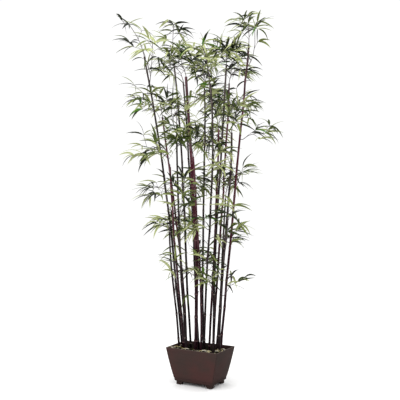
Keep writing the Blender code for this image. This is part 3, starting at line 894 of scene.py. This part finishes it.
# The first spray of a cane grows on from its tip, and the others leave its side
SPRAYS = (
    Spray(1, 1.74, (-0.38, 0.04, 1.91), 2),
    Spray(1, 1.60, (-0.25, -0.05, 1.79), 4),
    Spray(1, 1.47, (-0.30, -0.06, 1.53), 4),
    Spray(2, 1.14, (-0.30, -0.12, 1.25), 4),
    Spray(2, 0.85, (-0.08, -0.14, 1.08), 4),
    Spray(3, 0.80, (-0.17, 0.02, 0.83), 3),
    Spray(3, 0.43, (-0.13, -0.10, 0.66), 2),
    Spray(4, 1.43, (-0.22, 0.18, 1.49), 3),
    Spray(4, 1.01, (-0.27, 0.18, 1.04), 3),
    Spray(4, 0.71, (-0.11, 0.18, 0.85), 4),
    Spray(5, 1.36, (-0.12, -0.10, 1.47), 3),
    Spray(5, 1.00, (-0.09, 0.06, 1.10), 2),
    Spray(6, 1.74, (-0.15, 0.22, 1.96), 3),
    Spray(6, 1.04, (-0.01, 0.14, 1.07), 3),
    Spray(7, 1.62, (-0.16, -0.03, 1.72), 6),
    Spray(7, 1.47, (0.06, -0.04, 1.56), 4),
    Spray(7, 0.63, (0.04, 0.06, 0.66), 3),
    Spray(8, 1.61, (-0.20, 0.11, 1.73), 4),
    Spray(8, 1.26, (-0.16, 0.06, 1.49), 6),
    Spray(9, 1.19, (-0.09, -0.21, 1.30), 6),
    Spray(10, 1.63, (0.01, 0.26, 1.73), 6),
    Spray(10, 1.50, (0.13, 0.30, 1.53), 6),
    Spray(10, 0.53, (-0.07, 0.12, 0.58), 2),
    Spray(11, 1.55, (0.01, -0.25, 1.73), 2),
    Spray(11, 1.12, (0.07, -0.26, 1.22), 3),
    Spray(11, 0.82, (-0.03, -0.18, 0.85), 4),
    Spray(12, 1.36, (0.13, 0.15, 1.47), 4),
    Spray(12, 1.28, (0.03, 0.26, 1.34), 6),
    Spray(13, 1.66, (0.13, -0.15, 1.73), 6),
    Spray(13, 0.50, (0.03, -0.15, 0.67), 5),
    Spray(14, 1.62, (0.22, 0.21, 1.71), 5),
    Spray(14, 1.46, (0.23, 0.25, 1.55), 4),
    Spray(14, 0.73, (0.17, 0.18, 0.76), 2),
    Spray(15, 1.31, (0.19, -0.22, 1.44), 4),
    Spray(15, 0.71, (0.14, -0.22, 0.94), 3),
    Spray(15, 0.48, (0.16, -0.11, 0.58), 2),
    Spray(16, 0.98, (0.17, 0.03, 1.11), 6),
    Spray(17, 1.79, (0.25, -0.03, 1.90), 3),
    Spray(17, 1.68, (0.29, 0.02, 1.89), 2),
    Spray(17, 1.05, (0.22, 0.05, 1.12), 2),
    Spray(17, 1.29, (0.34, -0.06, 1.32), 2),
)


@dataclass
class Leaf:
    """The shape of one fabric leaf: slender, arched, folded a little along its midrib."""

    width: float = 0.0142
    thick: float = 0.0004
    steps: int = 6
    widest: float = 0.33
    fold: float = 0.22

    def outline(self, along: float) -> float:
        """Return half the leaf's width at that share of its length."""
        blunt = 0.5
        sharp = blunt * (1.0 - self.widest) / self.widest
        most = self.widest ** blunt * (1.0 - self.widest) ** sharp
        return self.width / 2.0 * along ** blunt * (1.0 - along) ** sharp / most

    def blank(self) -> bpy.types.Mesh:
        """Return a flat leaf, whose length is 1 along Y, to be laid where one grows."""
        bm = bmesh.new()
        bmesh.ops.create_grid(bm, x_segments=2, y_segments=self.steps, size=1.0)
        for vert in bm.verts:
            along = (vert.co.y + 1.0) / 2.0
            across = vert.co.x * self.outline(along)
            vert.co = Vector((across, along, abs(across) * self.fold))
        bmesh.ops.remove_doubles(bm, verts=bm.verts, dist=1e-6)
        bmesh.ops.solidify(bm, geom=bm.faces[:], thickness=self.thick)
        bmesh.ops.recalc_face_normals(bm, faces=bm.faces)
        uv = bm.loops.layers.uv.new("leaf")
        for face in bm.faces:
            for loop in face.loops:
                loop[uv].uv = (0.5 + loop.vert.co.x / self.width, loop.vert.co.y)
        mesh = bpy.data.meshes.new("leaf_blank")
        bm.to_mesh(mesh)
        bm.free()
        return mesh


class Fan(NamedTuple):
    """A fan of leaves: the knuckle that it is set in, its heading and its tint."""

    knuckle: Vector
    way: Vector
    tint: Tint


@dataclass
class Foliage:
    """Every spray of the crown, grown by the solids' rule to finer twigs and more leaves."""

    canes: Canes
    leaf: Leaf
    stem_radius: Point = (0.0021, 0.0013)
    twig_radius: Point = (0.0011, 0.0008)
    knuckle_radius: float = 0.0017
    stem_start: float = 0.010
    stem_steps: int = 4
    twig_length: Point = (0.045, 0.075)
    twiglet_length: Point = (0.020, 0.040)
    twig_lean: float = math.radians(58.0)
    golden_turn: float = math.radians(137.5)
    reach: float = 0.150
    tries: int = 8
    finer: float = 3.0
    leaves_per_fan: tuple[int, int] = (4, 7)
    leaf_length: Point = (0.082, 0.112)
    leaf_arch: Point = (0.05, 0.17)
    leaf_waist: float = 0.42
    fan_spread: float = math.radians(76.0)
    fan_twist: float = 0.6
    leaf_stray: float = 0.30
    leaf_lift: Point = (-0.25, 0.45)
    leaf_level: float = 0.5
    leaf_roll: float = 1.1
    leaf_droop: Point = (math.radians(-12.0), math.radians(46.0))
    same_tint: float = 0.7
    proud: float = 0.012

    def stem_course(self, plan: Spray) -> list[Vector]:
        """Return the points of a spray's stem, from its cane to its own end, on one smooth arch."""
        cane = CANES[plan.cane]
        end = spot(*plan.end)
        middle = self.canes.middle(cane, plan.leaves_at)
        if plan.leaves_at >= cane.top:
            heading = (middle - self.canes.middle(cane, cane.top - self.canes.internode[0])).normalized()
            start = middle - heading * 0.004
            first = middle + heading * self.stem_start
        else:
            out = Vector((end.x - middle.x, end.y - middle.y, 0.0)).normalized()
            start = middle
            first = middle + out * (self.stem_start + cane.thick * 0.4)
            heading = (out + UP).normalized()
        guide = first + heading * (end - first).length * 0.45
        return [start] + arch(first, guide, end, self.stem_steps)

    def survey(self) -> None:
        """Work out every stem, and the places along it that mark its space."""
        self.courses = [self.stem_course(plan) for plan in SPRAYS]
        self.stems = [[along_course(points, k / 6)[0] for k in range(1, 7)] for points in self.courses]
        low, high = (Vector(corner) for corner in CAD_BOX)
        self.low, self.high = low - Vector((self.proud,) * 3), high + Vector((self.proud,) * 3)

    def owns(self, number: int, place: Vector) -> bool:
        """Say whether a place lies in that spray's space: in its reach and nearest to its stem."""
        outside = any(not low <= part <= high for low, part, high in zip(self.low, place, self.high))
        if outside:
            return False
        own = min((place - point).length for point in self.stems[number])
        if own > self.reach:
            return False
        return all(
            (place - point).length > own * 0.8
            for other, stem in enumerate(self.stems)
            if other != number
            for point in stem
        )

    def twig(self, start: Vector, end: Vector, sag: float) -> None:
        """Add one twig that thickens to a knuckle where its leaves are set in."""
        middle = start.lerp(end, 0.5) + UP * sag
        points = arch(start, middle, end, 4)
        beyond = end + (end - middle).normalized() * 0.002
        thick, thin = self.twig_radius
        radii = [thick, thick, thin, self.knuckle_radius, thin * 0.6]
        gather(self.twigs, limb(points + [beyond], radii, 5))

    def tint(self, draw: random.Random) -> Tint:
        """Deal out a tint by its share."""
        return draw.choices(list(Tint), [tint.share for tint in Tint])[0]

    def branch(self, number: int) -> list[Fan]:
        """Grow a spray's stem, twigs and twiglets, and return the fans that they carry."""
        plan = SPRAYS[number]
        draw = random.Random(SEED * 100 + number)
        course = self.courses[number]
        heading = (course[-1] - course[-2]).normalized()
        thick, thin = self.stem_radius
        radii = [thick + (thin - thick) * step / (len(course) - 1) for step in range(len(course))]
        radii[-1] = self.knuckle_radius
        gather(self.twigs, limb(course + [course[-1] + heading * 0.003], radii + [thin * 0.5], 6))
        fans = [Fan(course[-1], heading, self.tint(draw))]
        turn = draw.uniform(0.0, math.tau)
        count = round((plan.fans - 1) * self.finer)
        for index in range(count):
            place, along = along_course(course, 0.38 + 0.54 * index / max(count - 1, 1))
            for attempt in range(self.tries):
                turn += self.golden_turn if attempt == 0 else math.radians(50.0)
                lean = self.twig_lean * draw.uniform(0.7, 1.15)
                way = along * math.cos(lean) + square_to(along, turn) * math.sin(lean)
                end = place + way * draw.uniform(*self.twig_length)
                if self.owns(number, end):
                    self.twig(place, end, 0.004)
                    fans.append(Fan(end, way, self.tint(draw)))
                    break
        for fan in fans[:]:
            aside = square_to(fan.way, draw.uniform(0.0, math.tau))
            way = (fan.way + aside * draw.uniform(0.7, 1.2)).normalized()
            end = fan.knuckle + way * draw.uniform(*self.twiglet_length)
            if draw.random() < 0.5 and self.owns(number, end):
                self.twig(fan.knuckle, end, 0.002)
                fans.append(Fan(end, way, fan.tint))
        return fans

    def lay(self, tint: Tint, root: Vector, tip: Vector, face_up: Vector, bow: float, size: float) -> None:
        """Lay one leaf on its arch.

        Args:
            tint: Its colour.
            root: The point inside the knuckle that it grows from.
            tip: Its pointed end.
            face_up: Which way its upper face looks.
            bow: How far it arches for its length.
            size: How wide it is for the common leaf.
        """
        chord = tip - root
        side = chord.cross(face_up).normalized()
        over = square_to(chord.normalized(), -math.pi / 2.0)
        guide = root.lerp(tip, self.leaf_waist) + over * chord.length * bow * 2.0
        whole = self.leaves[tint]
        before = len(whole.verts)
        whole.from_mesh(self.blank)
        whole.verts.ensure_lookup_table()
        for index in range(before, len(whole.verts)):
            vert = whole.verts[index]
            across, along, up = vert.co
            place = root.lerp(guide, along).lerp(guide.lerp(tip, along), along)
            way = (guide - root).lerp(tip - guide, along)
            up_here = side.cross(way).normalized()
            vert.co = place + side * across * size + up_here * up

    def unfold(self, number: int, fan: Fan, draw: random.Random) -> None:
        """Grow the leaves of one fan, each in the spray's own space."""
        count = draw.randint(*self.leaves_per_fan)
        side = square_to(fan.way, draw.uniform(-self.fan_twist, self.fan_twist))
        up = side.cross(fan.way).normalized()
        for index in range(count):
            stray = draw.uniform(-self.leaf_stray, self.leaf_stray)
            spread = self.fan_spread * (2.0 * index / (count - 1) - 1.0) + stray
            lift = draw.uniform(*self.leaf_lift)
            way = fan.way * math.cos(spread) + side * math.sin(spread) + up * lift
            level = Vector((way.x, way.y, way.z * self.leaf_level)).normalized()
            droop = draw.uniform(*self.leaf_droop)
            way = (level * math.cos(droop) - UP * math.sin(droop)).normalized()
            root = fan.knuckle - way * 0.0005
            tip = fan.knuckle + way * draw.uniform(*self.leaf_length)
            face_up = square_to(way, draw.uniform(-self.leaf_roll, self.leaf_roll) - math.pi / 2.0)
            bow, size = draw.uniform(*self.leaf_arch), draw.uniform(0.54, 0.99)
            # A leaf may take another tint than its fan's, so pale and dark leaves, partly painted light and
            # shade, mix in a fan
            tint = fan.tint if draw.random() < self.same_tint else self.tint(draw)
            if self.owns(number, tip) and self.owns(number, root.lerp(tip, self.leaf_waist)):
                self.lay(tint, root, tip, face_up, bow, size)

    def build(self) -> None:
        """Grow and dress the twigs and the leaves, those of each tint as one piece."""
        self.survey()
        self.blank = self.leaf.blank()
        self.twigs = bmesh.new()
        self.leaves = {tint: bmesh.new() for tint in Tint}
        sprays = []
        for number in range(len(SPRAYS)):
            sprays.append(f"spray_{number + 1:02d}")
            draw = random.Random(SEED * 300 + number)
            for fan in self.branch(number):
                self.unfold(number, fan, draw)
        dress(new_object("wire_twigs", self.twigs), WrappedWire().make(), sprays, 60.0)
        for tint, whole in self.leaves.items():
            piece = new_object(f"leaves_{tint.label}", whole)
            dress(piece, LeafCloth(tint).make(), sprays, 50.0)


# Studio


@dataclass
class Studio:
    """A pale floor, soft light and the camera at the photograph's angle."""

    distance: float = 3.5
    camera_height: float = 0.972
    focal_pixels: float = 660.0
    frame_pixels: float = 400.0
    axis_pixel: float = 200.4
    sensor: float = 36.0

    def floor(self) -> None:
        """Lay the pale floor."""
        bm = bmesh.new()
        bmesh.ops.create_grid(bm, x_segments=1, y_segments=1, size=30.0)
        bmesh.ops.translate(bm, vec=(0.0, 0.0, -0.0005), verts=bm.verts)
        obj = new_object("studio_floor", bm)
        shade = Shade("studio_floor", Roughness=1.0, Specular_IOR_Level=0.0,
                      Base_Color=(0.98, 0.98, 0.98, 1.0))
        obj.data.materials.append(shade.material)

    def light(self, name: str, place: Vector, size: float, power: float) -> None:
        """Hang one soft square light that shines at the middle of the plant."""
        lamp = bpy.data.lights.new(name, "AREA")
        lamp.energy = power
        lamp.size = size
        obj = bpy.data.objects.new(name, lamp)
        obj.location = place
        obj.rotation_euler = (Vector((0.0, 0.0, 0.9)) - place).to_track_quat("-Z", "Y").to_euler()
        bpy.context.scene.collection.objects.link(obj)

    def build(self) -> None:
        """Set up the floor, the lights, the surroundings and the camera."""
        self.floor()
        self.light("key_light", spot(-2.2, -2.6, 3.0), 1.8, 40.0)
        self.light("top_light", spot(0.0, 0.0, 4.0), 3.0, 85.0)
        world = bpy.data.worlds.new("studio")
        world.use_nodes = True
        sky = world.node_tree.nodes["Background"]
        sky.inputs["Color"].default_value = (1.0, 1.0, 1.0, 1.0)
        sky.inputs["Strength"].default_value = 1.04
        scene = bpy.context.scene
        scene.world = world
        scene.view_settings.view_transform = "Standard"
        camera = bpy.data.cameras.new("camera")
        camera.sensor_width = self.sensor
        camera.lens = self.focal_pixels * self.sensor / self.frame_pixels
        camera.shift_x = (self.frame_pixels / 2.0 - self.axis_pixel) / self.frame_pixels
        obj = bpy.data.objects.new("camera", camera)
        obj.location = spot(0.0, -self.distance, self.camera_height)
        obj.rotation_euler = (math.radians(90.0), 0.0, FAN_TURN)
        scene.collection.objects.link(obj)
        scene.camera = obj


def main() -> None:
    """Make the studio and every piece of the plant."""
    logging.basicConfig(level=logging.INFO, format="%(message)s")
    Studio().build()
    planter = Planter()
    planter.build()
    MossBed(planter).build()
    canes = Canes()
    canes.build()
    Foliage(canes, Leaf()).build()


if __name__ == "__main__":
    main()
